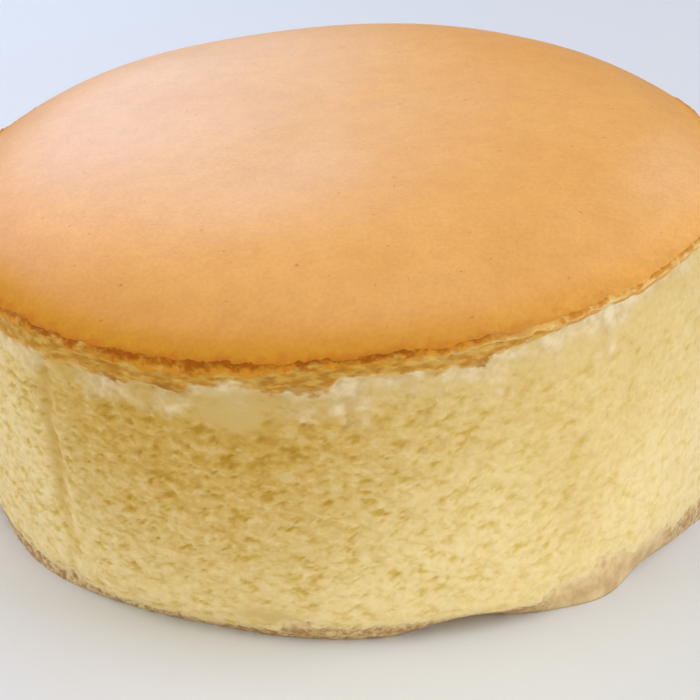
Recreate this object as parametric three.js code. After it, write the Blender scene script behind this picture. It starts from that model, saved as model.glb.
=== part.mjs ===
// A whole Japanese cheesecake, baked tall in a round tin and turned out, standing on its flat underside.
// It is one solid, in millimetres, with +Z up, and the side seen from the front faces -Y.
// Azimuths run anticlockwise seen from above, from 0 at +X, so the front is at -90 degrees.
import * as THREE from 'three';
import { ImprovedNoise } from 'three/addons/math/ImprovedNoise.js';

// The whole: a tin of 180 mm, a side that stands a little proud of the foot, a top that leans to -X
const FOOT_RADIUS = 87.8;
const SIDE_RADIUS = 90.6;
const TOP_RADIUS = 90.9;
const TOP_LEAN = -4.3;
const SIDE_BULGE = 0.9;
const SIDE_WAVER = 0.8;

// The crust: its edge stands higher at +X, its dome is flat in the middle with a round shoulder
const RIM_HEIGHT = 69.7;
const RIM_TILT = 5.7;
const RIM_WAVER = 0.7;
const DOME_RISE = 13.6;
const DOME_SQUARENESS = 5.2;
const DOME_WAVER = 0.5;

// The crust's torn edge hangs over the paler band that came away with the baking paper
const EDGE_HANG = 2.9;
const EDGE_THINS_TO_RIGHT = 0.8;
const EDGE_TEAR = 1.3;
const EDGE_OVERHANG = 0.9;
const BAND_HEIGHT = 8;
const BAND_RECESS = 1.2;
const FLAKE_PROUD = 1.2;

// The open crumb of the side
const CRUMB_DEPTH = 0.55;
const CRUMB_LENGTH = 12;
const CRUMB_HEIGHT = 6;

// The crease that a fold in the baking paper left, and a patch where the crumb stayed smooth
const CREASE_AZIMUTH = -131.6;
const CREASE_DEPTH = 1.6;
const CREASE_WIDTH = 3.2;
const CREASE_RIDGE = 0.7;
const SMOOTH_PATCH = { azimuth: -102.5, height: 56.5, halfLength: 9, halfHeight: 5 };

// The tan skin round the foot, with the thicker skirt that spreads out at the front right
const SKIN_PROUD = 0.5;
const SKIN_HEIGHT = 3.2;
const SKIN_RAGGED = 1.4;
const FOOT_ROUNDING = 9;
const SKIRT_START = -82;
const SKIRT_END = 28;
const SKIRT_HEIGHT = 12;
const SKIRT_SPREAD = 1.5;

// Where the foot's outline bulges or is drawn in: azimuth and half width in degrees, reach in mm
const FOOT_SHAPE = [
  { azimuth: -139, halfWidth: 14, reach: 4.2 },
  { azimuth: -109, halfWidth: 9, reach: -0.8 },
  { azimuth: -73, halfWidth: 8, reach: -5.2 },
  { azimuth: -53, halfWidth: 6, reach: 2.2 },
  { azimuth: -42, halfWidth: 6, reach: -1.2 },
  { azimuth: -27, halfWidth: 9, reach: 2 },
  { azimuth: 64, halfWidth: 20, reach: -1.5 },
  { azimuth: 140, halfWidth: 24, reach: 1.5 },
];

// Flakes of skin left on the band: azimuth in degrees, length and drop below the rim in mm
const FRONT_FLAKES = [
  { azimuth: -121, length: 9, drop: 6.5 },
  { azimuth: -112.5, length: 11, drop: 7.5 },
  { azimuth: -98, length: 17, drop: 6 },
  { azimuth: -79, length: 12, drop: 5.5 },
  { azimuth: -67, length: 8, drop: 7 },
  { azimuth: -52, length: 14, drop: 5 },
];
const HIDDEN_FLAKES = 14;
const HIDDEN_FLAKES_START = -30;
const HIDDEN_FLAKES_END = 225;

// How finely the solid is divided: points round each ring, and rings in each zone
const RING_POINTS = 164;
const DOME_RINGS = [
  { reach: 0.14, points: 14 },
  { reach: 0.28, points: 28 },
  { reach: 0.42, points: 42 },
  { reach: 0.56, points: 56 },
  { reach: 0.68, points: 84 },
  { reach: 0.78, points: 84 },
  { reach: 0.86, points: 112 },
  { reach: 0.92, points: 112 },
  { reach: 0.965, points: RING_POINTS },
];
const BAND_RINGS = 4;
const SIDE_RINGS = 16;
const SKIN_RINGS = 3;
const UNDERSIDE_RINGS = [
  { reach: 0.7, points: 42 },
  { reach: 0.3, points: 14 },
];

const { degToRad, smoothstep, lerp, euclideanModulo, seededRandom } = THREE.MathUtils;
const noise = new ImprovedNoise();

// Smooth unevenness from -1 to 1 round the cake, with a bump about every `length` mm
function aroundWaver(azimuth, length, seed) {
  const scale = SIDE_RADIUS / length;
  return noise.noise(scale * Math.cos(azimuth), scale * Math.sin(azimuth), seed);
}

// The same over the side, with bumps about `length` mm long and `tall` mm high
function sideWaver(azimuth, height, length, tall, seed) {
  const scale = SIDE_RADIUS / length;
  return noise.noise(scale * Math.cos(azimuth) + seed, scale * Math.sin(azimuth), height / tall);
}

// The angle in degrees from one azimuth to another, between -180 and 180
function degreesFrom(azimuth, centre) {
  return euclideanModulo(THREE.MathUtils.radToDeg(azimuth) - centre + 180, 360) - 180;
}

function arcFrom(azimuth, centre) {
  return degToRad(degreesFrom(azimuth, centre)) * SIDE_RADIUS;
}

function hump(distance, halfWidth) {
  return Math.exp(-((distance / halfWidth) ** 2));
}

// How much of the skirt there is at an azimuth, from 0 to 1
function skirtShare(azimuth) {
  const middle = (SKIRT_START + SKIRT_END) / 2;
  const halfSpan = (SKIRT_END - SKIRT_START) / 2;
  return 1 - smoothstep(Math.abs(degreesFrom(azimuth, middle)), halfSpan * 0.2, halfSpan);
}

function rimHeight(azimuth) {
  return RIM_HEIGHT + RIM_TILT * Math.cos(azimuth) + RIM_WAVER * aroundWaver(azimuth, 22, 3.7);
}

function edgeHang(azimuth) {
  const tear = 0.7 * aroundWaver(azimuth, 8, 11.3) + 0.5 * aroundWaver(azimuth, 4.5, 23.1);
  return EDGE_HANG - EDGE_THINS_TO_RIGHT * Math.cos(azimuth) + EDGE_TEAR * tear;
}

function footRadius(azimuth) {
  let radius = FOOT_RADIUS + SKIRT_SPREAD * skirtShare(azimuth);
  for (const part of FOOT_SHAPE) {
    radius += part.reach * hump(degreesFrom(azimuth, part.azimuth), part.halfWidth);
  }
  return radius + 0.6 * aroundWaver(azimuth, 9, 5.2);
}

function skinHeight(azimuth) {
  const ragged = aroundWaver(azimuth, 7, 31.6) + 0.5 * aroundWaver(azimuth, 4, 17.9);
  return lerp(SKIN_HEIGHT, SKIRT_HEIGHT, skirtShare(azimuth)) + SKIN_RAGGED * ragged;
}

// The crease: a groove with a low ridge beside it, fading out below the crust
function creaseRelief(azimuth, height) {
  const across = arcFrom(azimuth, CREASE_AZIMUTH + (RIM_HEIGHT - height) * 0.022);
  const fade = 1 - smoothstep(height, RIM_HEIGHT - BAND_HEIGHT - 4, RIM_HEIGHT);
  const groove = -CREASE_DEPTH * hump(across, CREASE_WIDTH);
  return fade * (groove + CREASE_RIDGE * hump(across - 1.6 * CREASE_WIDTH, CREASE_WIDTH));
}

// 1 on the smooth patch, 0 away from it
function smoothPatch(azimuth, height) {
  const along = arcFrom(azimuth, SMOOTH_PATCH.azimuth) / SMOOTH_PATCH.halfLength;
  const up = (height - SMOOTH_PATCH.height) / SMOOTH_PATCH.halfHeight;
  return 1 - smoothstep(Math.hypot(along, up), 0.7, 1.2);
}

// The plain side's radius from its leaning axis: foot rounding, bulge and slow unevenness
function sideRadius(azimuth, height) {
  const share = height / RIM_HEIGHT;
  const straight = lerp(SIDE_RADIUS, TOP_RADIUS, share) + SIDE_BULGE * Math.sin(Math.PI * share);
  const inset = (straight - footRadius(azimuth)) * Math.max(0, 1 - height / FOOT_ROUNDING) ** 2;
  return straight - inset + SIDE_WAVER * sideWaver(azimuth, height, 45, 60, 2.4);
}

function crumbRadius(azimuth, height) {
  const crumb = CRUMB_DEPTH * sideWaver(azimuth, height, CRUMB_LENGTH, CRUMB_HEIGHT, 8.8);
  const rough = 1 - smoothPatch(azimuth, height);
  return sideRadius(azimuth, height) + creaseRelief(azimuth, height) + rough * crumb;
}

// The flakes on the band: the ones at the front, then like ones round the rest of the rim
function bandFlakes() {
  const flakes = [...FRONT_FLAKES];
  seededRandom(7);
  const step = (HIDDEN_FLAKES_END - HIDDEN_FLAKES_START) / HIDDEN_FLAKES;
  for (let i = 0; i < HIDDEN_FLAKES; i += 1) {
    const azimuth = HIDDEN_FLAKES_START + step * (i + 0.2 + 0.6 * seededRandom());
    flakes.push({ azimuth, length: 7 + 9 * seededRandom(), drop: 5 + 3 * seededRandom() });
  }
  return flakes;
}

const FLAKES = bandFlakes();

// How far the band stands proud at a flake, for a point so far below the rim
function flakeRelief(azimuth, below) {
  let relief = 0;
  for (const flake of FLAKES) {
    const along = Math.abs(arcFrom(azimuth, flake.azimuth)) / (flake.length / 2);
    const lowerEdge = flake.drop * (1 - 0.45 * along * along);
    const inside = 1 - smoothstep(along, 0.8, 1.15);
    relief = Math.max(relief, inside * (1 - smoothstep(below, lowerEdge - 0.4, lowerEdge + 0.8)));
  }
  return FLAKE_PROUD * relief;
}

// A point on a ring, `radius` mm from the axis of the cake, which leans with height
function pointAt(azimuth, radius, height) {
  const lean = TOP_LEAN * (height / RIM_HEIGHT);
  return [lean + radius * Math.cos(azimuth), radius * Math.sin(azimuth), height];
}

function ring(points, place) {
  const placed = [];
  for (let i = 0; i < points; i += 1) {
    placed.push(place((2 * Math.PI * i) / points));
  }
  return placed;
}

// A ring of the dome, at a share of the top's radius
function domeRing(reach, points) {
  return ring(points, (azimuth) => {
    const rim = rimHeight(azimuth);
    const settled = lerp(RIM_HEIGHT, rim, reach ** 3);
    const tilt = RIM_TILT * Math.cos(azimuth) * (reach - reach ** 3);
    const rise = DOME_RISE * (1 - reach ** DOME_SQUARENESS);
    const radius = reach * (sideRadius(azimuth, rim) + 0.3);
    const [x, y] = pointAt(azimuth, radius, RIM_HEIGHT);
    const waver = DOME_WAVER * noise.noise(x / 34, y / 34, 6.1) * (1 - reach ** 6);
    return [x, y, settled + tilt + rise + waver];
  });
}

// The crust's torn edge: rim, lip and the underside that cuts back to the band
function crustEdgeRings() {
  const profile = [
    { below: () => 0, out: () => 0.3 },
    { below: () => 0.7, out: (azimuth) => EDGE_OVERHANG + 0.3 * aroundWaver(azimuth, 5, 41) },
    { below: (azimuth) => edgeHang(azimuth) - 0.4, out: () => EDGE_OVERHANG - 0.2 },
    { below: (azimuth) => edgeHang(azimuth) + 0.2, out: () => -BAND_RECESS },
  ];
  return profile.map(({ below, out }) => ring(RING_POINTS, (azimuth) => {
    const height = rimHeight(azimuth) - below(azimuth);
    return pointAt(azimuth, sideRadius(azimuth, height) + out(azimuth), height);
  }));
}

// The peeled band: cut back at the crust, out to the crumb at its foot, with the flakes left on it
function bandRings() {
  const rings = [];
  for (let i = 1; i <= BAND_RINGS; i += 1) {
    const share = i / BAND_RINGS;
    rings.push(ring(RING_POINTS, (azimuth) => {
      const below = edgeHang(azimuth) + 0.2 + share * BAND_HEIGHT;
      const height = rimHeight(azimuth) - below;
      const recess = BAND_RECESS * (1 - smoothstep(share, 0.3, 1));
      const scraps = 0.4 * sideWaver(azimuth, height, 7, 3, 12.5);
      const out = Math.max(flakeRelief(azimuth, below) - recess, scraps - recess);
      return pointAt(azimuth, sideRadius(azimuth, height) + out, height);
    }));
  }
  return rings;
}

function sideRings() {
  const rings = [];
  for (let i = 1; i <= SIDE_RINGS; i += 1) {
    rings.push(ring(RING_POINTS, (azimuth) => {
      const top = rimHeight(azimuth) - edgeHang(azimuth) - 0.2 - BAND_HEIGHT;
      const height = lerp(top, skinHeight(azimuth) + 0.3, i / SIDE_RINGS);
      return pointAt(azimuth, crumbRadius(azimuth, height), height);
    }));
  }
  return rings;
}

// The skin round the foot: a small step out, then down to the flat underside
function skinRings() {
  const rings = [];
  for (let i = 0; i <= SKIN_RINGS; i += 1) {
    rings.push(ring(RING_POINTS, (azimuth) => {
      const height = lerp(skinHeight(azimuth) - 0.3, 0, i / SKIN_RINGS);
      return pointAt(azimuth, sideRadius(azimuth, height) + SKIN_PROUD, height);
    }));
  }
  return rings;
}

function undersideRing(reach, points) {
  return ring(points, (azimuth) => {
    const radius = reach * FOOT_RADIUS;
    return [radius * Math.cos(azimuth), radius * Math.sin(azimuth), 0];
  });
}

// Joins rings of any number of points, from the crown down and across the underside, into one closed body
function closedBody(crown, rings, bottom) {
  const positions = [crown, ...rings.flat(), bottom].flat();
  const faces = [];
  const starts = [];
  let next = 1;
  for (const points of rings) {
    starts.push(next);
    next += points.length;
  }
  const last = next;
  rings.forEach((lower, index) => {
    const low = starts[index];
    if (index === 0) {
      lower.forEach((_, i) => faces.push(0, low + i, low + ((i + 1) % lower.length)));
      return;
    }
    const upper = rings[index - 1];
    const high = starts[index - 1];
    let i = 0;
    let j = 0;
    while (i < upper.length || j < lower.length) {
      const upperNext = high + ((i + 1) % upper.length);
      const lowerNext = low + ((j + 1) % lower.length);
      const here = high + (i % upper.length);
      const below = low + (j % lower.length);
      if ((i + 0.5) * lower.length < (j + 0.5) * upper.length) {
        faces.push(here, below, upperNext);
        i += 1;
      } else {
        faces.push(here, below, lowerNext);
        j += 1;
      }
    }
  });
  const final = rings.at(-1);
  const start = starts.at(-1);
  final.forEach((_, i) => faces.push(start + i, last, start + ((i + 1) % final.length)));

  const geometry = new THREE.BufferGeometry();
  geometry.setAttribute('position', new THREE.Float32BufferAttribute(positions, 3));
  geometry.setIndex(faces);
  geometry.computeVertexNormals();
  return geometry;
}

function cheesecakeGeometry() {
  const crown = [TOP_LEAN, 0, RIM_HEIGHT + DOME_RISE];
  const rings = [
    ...DOME_RINGS.map(({ reach, points }) => domeRing(reach, points)),
    ...crustEdgeRings(),
    ...bandRings(),
    ...sideRings(),
    ...skinRings(),
    ...UNDERSIDE_RINGS.map(({ reach, points }) => undersideRing(reach, points)),
  ];
  return closedBody(crown, rings, [0, 0, 0]);
}

function cheesecake() {
  const sponge = new THREE.MeshStandardMaterial({ color: 0xe8cf95, roughness: 0.85, metalness: 0 });
  const mesh = new THREE.Mesh(cheesecakeGeometry(), sponge);
  mesh.name = 'cheesecake';
  return mesh;
}

const group = new THREE.Group();
group.add(cheesecake());

export default group;
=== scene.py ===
"""A whole Japanese cheesecake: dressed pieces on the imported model's frame, in metres with +Z up."""

from math import cos, pi, radians, sin

import bpy
import numpy as np
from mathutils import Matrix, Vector


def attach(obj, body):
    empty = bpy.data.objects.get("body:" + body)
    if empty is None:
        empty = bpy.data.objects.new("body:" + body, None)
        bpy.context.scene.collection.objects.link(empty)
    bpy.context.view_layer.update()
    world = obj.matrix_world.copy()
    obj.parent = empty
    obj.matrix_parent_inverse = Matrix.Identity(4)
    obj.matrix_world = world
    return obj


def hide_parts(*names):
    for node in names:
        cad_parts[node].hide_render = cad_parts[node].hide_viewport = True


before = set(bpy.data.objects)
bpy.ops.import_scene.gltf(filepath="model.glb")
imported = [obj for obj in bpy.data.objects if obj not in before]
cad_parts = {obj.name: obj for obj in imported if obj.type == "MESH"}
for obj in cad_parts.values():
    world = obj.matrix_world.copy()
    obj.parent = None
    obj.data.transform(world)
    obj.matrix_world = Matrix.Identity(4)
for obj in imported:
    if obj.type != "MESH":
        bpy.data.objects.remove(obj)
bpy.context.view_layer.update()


# Sponge
# The body of the cake: a soft, open crumb of egg, cream cheese and whisked whites, baked in a round tin
# lined with paper. The paper was peeled off the side: it tore the crumb open in low wavy pits, and left
# scraps of golden skin under the rim.
MM = 0.001
MERGE_DISTANCE = 0.01 * MM
SIDE_RADIUS = 0.0906
RIM_HEIGHT = 0.0697
RIM_TILT = 0.0057
TOP_LEAN = -0.0043
SIDE_BULGE = 0.0009
RIM_SAG = 0.0014
RIM_SAG_AZIMUTH = -97
RIM_SAG_HALF_WIDTH = 42
FOOT_RADIUS = 0.0878
FOOT_ROUNDING = 0.009

# Slow waves round the side and in the rim's height: how many to the turn, millimetres, start in radians
SIDE_ROUNDS = [(3, 0.4, 1), (7, 0.25, 2)]
RIM_ROUNDS = [(5, 0.35, 0.6)]

# Bulges and dents of the foot: azimuth and half width in degrees, reach in millimetres
FOOT_SHAPE = [
    (-139, 14, 3.2),
    (-109, 9, -0.8),
    (-73, 8, -5.2),
    (-53, 6, 2.2),
    (-42, 6, -1.2),
    (-22, 7, 3.0),
    (64, 20, -1.5),
    (140, 24, 1.5),
]

# The skirt at the right of the foot: from and to in degrees, the share of it at full spread, and the spread
SKIRT_START = -82
SKIRT_END = 28
SKIRT_FULL = 0.2
SKIRT_SPREAD = 0.0015

SPONGE_STEPS = 720
BAND_ROWS = 36
SIDE_ROWS = 94
SPONGE_TOP = RIM_HEIGHT - 0.0012
SPONGE_FLOOR = 0.0004
SPONGE_SHOULDER = 0.004
SPONGE_DOME = 0.009
BAND_BOTTOM = 11.0
BAND_RECESS = 0.0006

# The crease down the left of the side, and the low ridge beside it
CREASE_AZIMUTH = -130.4
CREASE_HALF_WIDTH = 0.0024
CREASE_DEPTH = 0.0009
CREASE_WAVER = 0.0006
CREASE_FADE = 0.55
RIDGE_SHARE = 0.4

# Where things set in or are complete, in millimetres below the rim
SIDE_SPAN = (1.2, 1.6)
BAND_SPAN = (1, 3)
BAND_END = (6, BAND_BOTTOM)
CREASE_SPAN = (6, 10)
CREASE_END = (38, 62)
OPEN_CRUMB_SPAN = (7, 15)
SHALLOW_PITS_SPAN = (50, 64)
EVEN_SIDE_SPAN = (65, 68.5)
EVEN_CRUMB_SPAN = (66, 69)

# The crumb grows finer to the right: from and to in millimetres along X, and by how much
FINER_SPAN = (-15, 70)
FINER_SHARE = 0.75

# How pale the crumb is: at the least, towards the foot in millimetres below the rim, and towards both sides
# in millimetres from a middle along X. Towards the foot it is partly the crumb's own paler colour and partly
# painted light bounced up from below; towards both sides it is painted light, where the lamps fall on them.
LEAST_PALE = -0.15
PALE_AND_LIT_FOOT_SPAN = (10, 86)
PALE_AND_LIT_FOOT_SHARE = 1.12
LIT_SIDES_MIDDLE = -30
LIT_SIDES_SPAN = (11, 61)
LIT_SIDES_SHARE = 0.57

# Painted light on the stretch left of the crease, and the golden streak at the right, deepened lower down by
# painted shade in a hollow of the crumb: azimuth and half width in degrees
LIT_LEFT_STRETCH = (-142, 11)
LIT_LEFT_STRETCH_SHARE = 0.55
GOLDEN_STREAK_AND_SHADE = (-59, 8)
GOLDEN_STREAK_AND_SHADE_SPAN = (15, 55)
GOLDEN_STREAK_AND_SHADE_SHARE = 0.4

# Bumps: their height and length in metres, how they stretch along X, Y and Z, and how finely they divide
SIDE_SWELLS = (0.0010, 0.016, (1, 1, 0.6), 1)
SIDE_FLUTES = (0.0005, 0.0060, (1, 1, 9), 0)
CRUMB_BUMPS = (0.0005, 0.0032, (1, 1.4, 0.6), 1)
SKIN_WRINKLES = (0.0011, 0.0032, (1, 1, 0.5), 2)

# Pits in the crumb, in millimetres: width and height of the field each has to itself, then of half a pit
WIDE_PITS = (3.6, 2.6, 1.05, 0.60)
ROUND_PITS = (2.3, 1.8, 0.60, 0.44)
WIDE_PITS_SEED = 3
ROUND_PITS_SEED = 4
NICKS_SEED = 5
PIT_DEPTH = 0.0006
PIT_SLANT = 0.6
ROUND_PITS_SHARE = 0.65

# How the pits' outlines waver: how far, then the pitch, drift and pitch of the drift of each waver
PIT_WAVER = 0.35
SIDEWAYS_WAVER = (2.9, 1.3, 0.9)
UPWARD_WAVER = (2.3, 1.7, 1.1)

# Longer pits seen at the front: azimuth in degrees, then millimetres below the rim, half width, half height
LONG_PITS = [
    (-87.5, 14.4, 2.2, 0.6),
    (-83.6, 13.9, 2.4, 0.7),
    (-78.3, 13.6, 2.8, 0.7),
    (-98.9, 16.2, 1.6, 1.6),
    (-106.0, 15.8, 3.2, 0.7),
    (-57.2, 29.2, 0.9, 1.0),
    (-58.0, 32.4, 0.9, 0.9),
    (-57.8, 35.6, 0.8, 1.2),
    (-59.3, 40.2, 0.9, 1.6),
]
LONG_PITS_SHARE = 0.9
LONG_PITS_SLANT = 0.15

# Patches of crumb left smooth, one under the rim and one at the foot: azimuth in degrees, millimetres below
# the rim, half width in degrees, half height in millimetres
SMOOTH_PATCHES = [(-101.5, 10.9, 6.2, 4.9), (-100.5, 62.5, 4.0, 2.6)]
SMOOTH_EDGE = (0.5, 1.4)
NICKS_SHARE = 0.9

# The skin left under the rim: azimuth in degrees, and how far below the rim its torn edge lies in millimetres
SKIN_EDGE = [
    (-150, 4.9),
    (-144, 5.6),
    (-138, 7.2),
    (-127, 7.4),
    (-121, 6.8),
    (-116.3, 7.8),
    (-115.2, 6.2),
    (-109.2, 7.6),
    (-107.4, 5.8),
    (-105.5, 5.4),
    (-102.1, 4.2),
    (-98.6, 6.6),
    (-90.2, 7.0),
    (-88.8, 3.8),
    (-81, 4.8),
    (-74, 5.2),
    (-72.5, 6.0),
    (-68.5, 4.4),
    (-62, 3.2),
    (-55, 1.4),
    (-45, 0.6),
    (-20, 0.6),
    (20, 2.4),
    (45, 4.0),
]
SKIN_PROUD = 0.0005
SKIN_EDGE_SOFTNESS = 0.7

# Where that edge baked brown: azimuth and half width in degrees, and how brown from 0 to 1
BROWN_ENDS = [(-118, 1.8, 1.0), (-111.2, 2.6, 1.0), (-95, 5.0, 0.5), (-70.5, 1.6, 0.9)]

# Tufts of white crumb under the skin: azimuth and half width in degrees, extra reach in millimetres
WHITE_TUFTS = [
    (-133, 3.0, 4.5),
    (-119, 4.5, 3.5),
    (-110, 3.0, 2.5),
    (-101, 2.2, 3.0),
    (-94, 4.0, 3.6),
    (-87, 3.0, 4.5),
    (-69, 3.5, 5.5),
    (-61, 3.0, 4.0),
    (-53, 4.5, 6.5),
]
WHITE_RISE = 2.0
WHITE_RISE_AT_THIN_RIM = 4.5

# Scraps of skin round the back, placed by chance between two azimuths in degrees, down to some millimetres
HIDDEN_SCRAPS = 11
HIDDEN_START = 30
HIDDEN_END = 205
HIDDEN_DROP = 2
HIDDEN_SEED = 7

# The rim baked pale and thin from the front round to the right: where that sets in and ends, in degrees
THIN_RIM_START = (-84, -52)
THIN_RIM_END = (30, 90)


def select_only(piece):
    """Deselects everything, then makes this piece the active one."""
    bpy.ops.object.select_all(action="DESELECT")
    piece.select_set(True)
    bpy.context.view_layer.objects.active = piece


def turned(name, section, steps):
    """A closed round body: its half section is drawn by Extrude from one point, then turned by Screw."""
    bpy.ops.object.select_all(action="DESELECT")
    bpy.ops.mesh.primitive_plane_add(size=MM, location=(0, 0, 0))
    piece = bpy.context.object
    piece.name = name
    bpy.ops.object.mode_set(mode="EDIT")
    bpy.ops.mesh.merge(type="CENTER")
    bpy.ops.transform.translate(value=(section[0][0], 0, section[0][1]))
    for (out, up), (next_out, next_up) in zip(section, section[1:]):
        move = (next_out - out, 0, next_up - up)
        bpy.ops.mesh.extrude_region_move(TRANSFORM_OT_translate={"value": move})
    bpy.ops.object.mode_set(mode="OBJECT")
    turn = piece.modifiers.new("turn", "SCREW")
    turn.steps = steps
    turn.render_steps = steps
    turn.use_merge_vertices = True
    bpy.ops.object.modifier_apply(modifier=turn.name)
    bpy.ops.object.mode_set(mode="EDIT")
    bpy.ops.mesh.select_all(action="SELECT")
    bpy.ops.mesh.remove_doubles(threshold=MERGE_DISTANCE)
    bpy.ops.mesh.normals_make_consistent(inside=False)
    bpy.ops.object.mode_set(mode="OBJECT")
    bpy.ops.object.shade_smooth()
    return piece


def places(piece):
    """Every vertex's place as rows of x, y and z."""
    flat = np.empty(3 * len(piece.data.vertices))
    piece.data.vertices.foreach_get("co", flat)
    return flat.reshape(-1, 3)


def round_the_cake(at):
    """Azimuth in degrees, from 0 at +X, and distance from the axis."""
    return np.degrees(np.arctan2(at[:, 1], at[:, 0])), np.hypot(at[:, 0], at[:, 1])


def degrees_from(azimuth, centre):
    """How far an azimuth lies from another, the short way round."""
    return (azimuth - centre + 180) % 360 - 180


def hump(distance, half_width):
    """1 at no distance, falling off smoothly on both sides."""
    return np.exp(-((distance / half_width) ** 2))


def around(azimuth, centre, half_width):
    """A hump on the way round the cake, in degrees."""
    return hump(degrees_from(azimuth, centre), half_width)


def highest_hump(azimuth, humps):
    """The highest of some humps round the cake: azimuth and half width in degrees, and height."""
    return np.max([height * around(azimuth, centre, width) for centre, width, height in humps], 0)


def ease(value, low, high):
    """0 below low, 1 above high, and a smooth step between."""
    share = np.clip((value - low) / (high - low), 0, 1)
    return share * share * (3 - 2 * share)


def slow_waves(turn, waves):
    """Waves that go round the cake, in metres, at angles in radians."""
    return sum(depth * MM * np.cos(count * turn + start) for count, depth, start in waves)


def skirt_share(azimuth):
    """How much of the foot's skirt there is at an azimuth, from 0 to 1."""
    middle = (SKIRT_START + SKIRT_END) / 2
    half_span = (SKIRT_END - SKIRT_START) / 2
    return 1 - ease(abs(degrees_from(azimuth, middle)), SKIRT_FULL * half_span, half_span)


def settle(piece):
    """Moves a piece made on a plain round cake onto the real one, which leans, tilts, sags and bulges."""
    at = places(piece)
    azimuth, radius = round_the_cake(at)
    turn = np.radians(azimuth)
    share = np.clip(at[:, 2] / RIM_HEIGHT, 0, 1)
    outer = radius / SIDE_RADIUS
    foot = FOOT_RADIUS + SKIRT_SPREAD * skirt_share(azimuth)
    for centre, half_width, reach in FOOT_SHAPE:
        foot = foot + reach * MM * around(azimuth, centre, half_width)
    drawn_in = (foot - SIDE_RADIUS) * np.clip(1 - at[:, 2] / FOOT_ROUNDING, 0, 1) ** 2
    bulge = SIDE_BULGE * np.sin(pi * share)
    grown = radius + outer * (drawn_in + bulge + slow_waves(turn, SIDE_ROUNDS))
    lift = RIM_TILT * at[:, 0] / SIDE_RADIUS + outer * slow_waves(turn, RIM_ROUNDS)
    lift -= RIM_SAG * outer**4 * around(azimuth, RIM_SAG_AZIMUTH, RIM_SAG_HALF_WIDTH)
    at[:, 0] = grown * np.cos(turn) + TOP_LEAN * share
    at[:, 1] = grown * np.sin(turn)
    at[:, 2] += lift * share
    piece.data.vertices.foreach_set("co", at.ravel())
    piece.data.update()


def weigh(piece, name, weights):
    """A vertex group, so that a relief acts only where it should."""
    group = piece.vertex_groups.new(name=name)
    steps = np.round(weights, 2)
    for step in np.unique(steps[steps > 0]):
        group.add(np.flatnonzero(steps == step).tolist(), float(step), "ADD")


def relief(piece, group, height, length=0.0, stretch=(1, 1, 1), detail=0, direction="NORMAL"):
    """Pushes the surface out by a height, or in and out by bumps of that height where they have a length."""
    change = piece.modifiers.new("relief", "DISPLACE")
    change.strength = height
    change.vertex_group = group
    change.direction = direction
    change.mid_level = 0
    if length:
        bumps = bpy.data.textures.new("bumps", "CLOUDS")
        bumps.noise_scale = 1.0
        bumps.noise_depth = detail
        grid = bpy.data.objects.new("bump grid", None)
        grid.scale = [length * share for share in stretch]
        bpy.context.scene.collection.objects.link(grid)
        bpy.context.view_layer.update()
        change.texture = bumps
        change.texture_coords = "OBJECT"
        change.texture_coords_object = grid
        change.mid_level = 0.5
    select_only(piece)
    bpy.ops.object.modifier_apply(modifier=change.name)
    if length:
        bpy.data.objects.remove(grid)
        bpy.data.textures.remove(bumps)


def keep(piece, name, values):
    """Stores one number for each vertex, which the material reads."""
    layer = piece.data.attributes.new(name, "FLOAT", "POINT")
    layer.data.foreach_set("value", np.ascontiguousarray(values, dtype=np.float32))


def sponge_section():
    """Half section of the sponge, with finer rows where the skin hangs over the side."""
    band = np.linspace(SPONGE_TOP, RIM_HEIGHT - BAND_BOTTOM * MM, BAND_ROWS, endpoint=False)[::-1]
    side = np.linspace(SPONGE_FLOOR, RIM_HEIGHT - BAND_BOTTOM * MM, SIDE_ROWS)
    wall = [(SIDE_RADIUS, up) for up in (*side, *band)]
    top = [(SIDE_RADIUS - SPONGE_SHOULDER, SPONGE_TOP), (0, SPONGE_TOP + SPONGE_DOME)]
    return [(0, SPONGE_FLOOR), *wall, *top]


def thin_rim(azimuth):
    """1 where the rim baked pale and thin, and 0 where it is thick and brown."""
    return ease(azimuth, *THIN_RIM_START) * (1 - ease(azimuth, *THIN_RIM_END))


def skin_edge(azimuth):
    """How far below the rim the skin reaches in millimetres, and how brown its edge is from 0 to 1."""
    edge = np.interp(azimuth, *zip(*SKIN_EDGE), period=360)
    brown = highest_hump(azimuth, BROWN_ENDS)
    draw = np.random.default_rng(HIDDEN_SEED)
    step = (HIDDEN_END - HIDDEN_START) / HIDDEN_SCRAPS
    for place in range(HIDDEN_SCRAPS):
        start = HIDDEN_START + step * (place + draw.uniform(0, 0.3))
        along = degrees_from(azimuth, start) / (step * draw.uniform(0.4, 0.8))
        scrap = ease(along, -0.2, 0.2) * (1 - ease(along, 0.9, 1.1))
        drop = draw.uniform(0, HIDDEN_DROP)
        slant = draw.uniform(0, HIDDEN_DROP)
        edge = edge + scrap * (drop + slant * along)
        brown = np.maximum(brown, scrap * ease(along, 0.4, 0.9) * draw.uniform(0.2, 1))
    return edge, brown


def pitted(azimuth, below, pits, seed):
    """How deep each place lies in oval pits, 0 to 1: one pit to a field, placed and sized by chance."""
    field_width, field_height, half_width, half_height = pits
    columns = round(2 * pi * SIDE_RADIUS / MM / field_width)
    rows = round(RIM_HEIGHT / MM / field_height)
    chance = np.random.default_rng(seed).uniform(size=(5, columns, rows))
    across = azimuth % 360 / 360 * columns
    down = below / field_height
    deepest = np.zeros_like(below)
    for right in (-1, 0, 1):
        for lower in (-1, 0, 1):
            column = np.floor(across).astype(int) + right
            row = np.floor(down).astype(int) + lower
            shift, drop, size, depth, slant = chance[:, column % columns, row % rows]
            out = (across - column - shift) * field_width
            low = (down - row - drop) * field_height + (slant - 0.5) * PIT_SLANT * out
            distance = np.hypot(out / half_width, low / half_height) / (0.5 + size)
            deepest = np.maximum(deepest, ease(depth, 0.1, 0.9) * hump(distance, 1))
    return deepest


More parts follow.
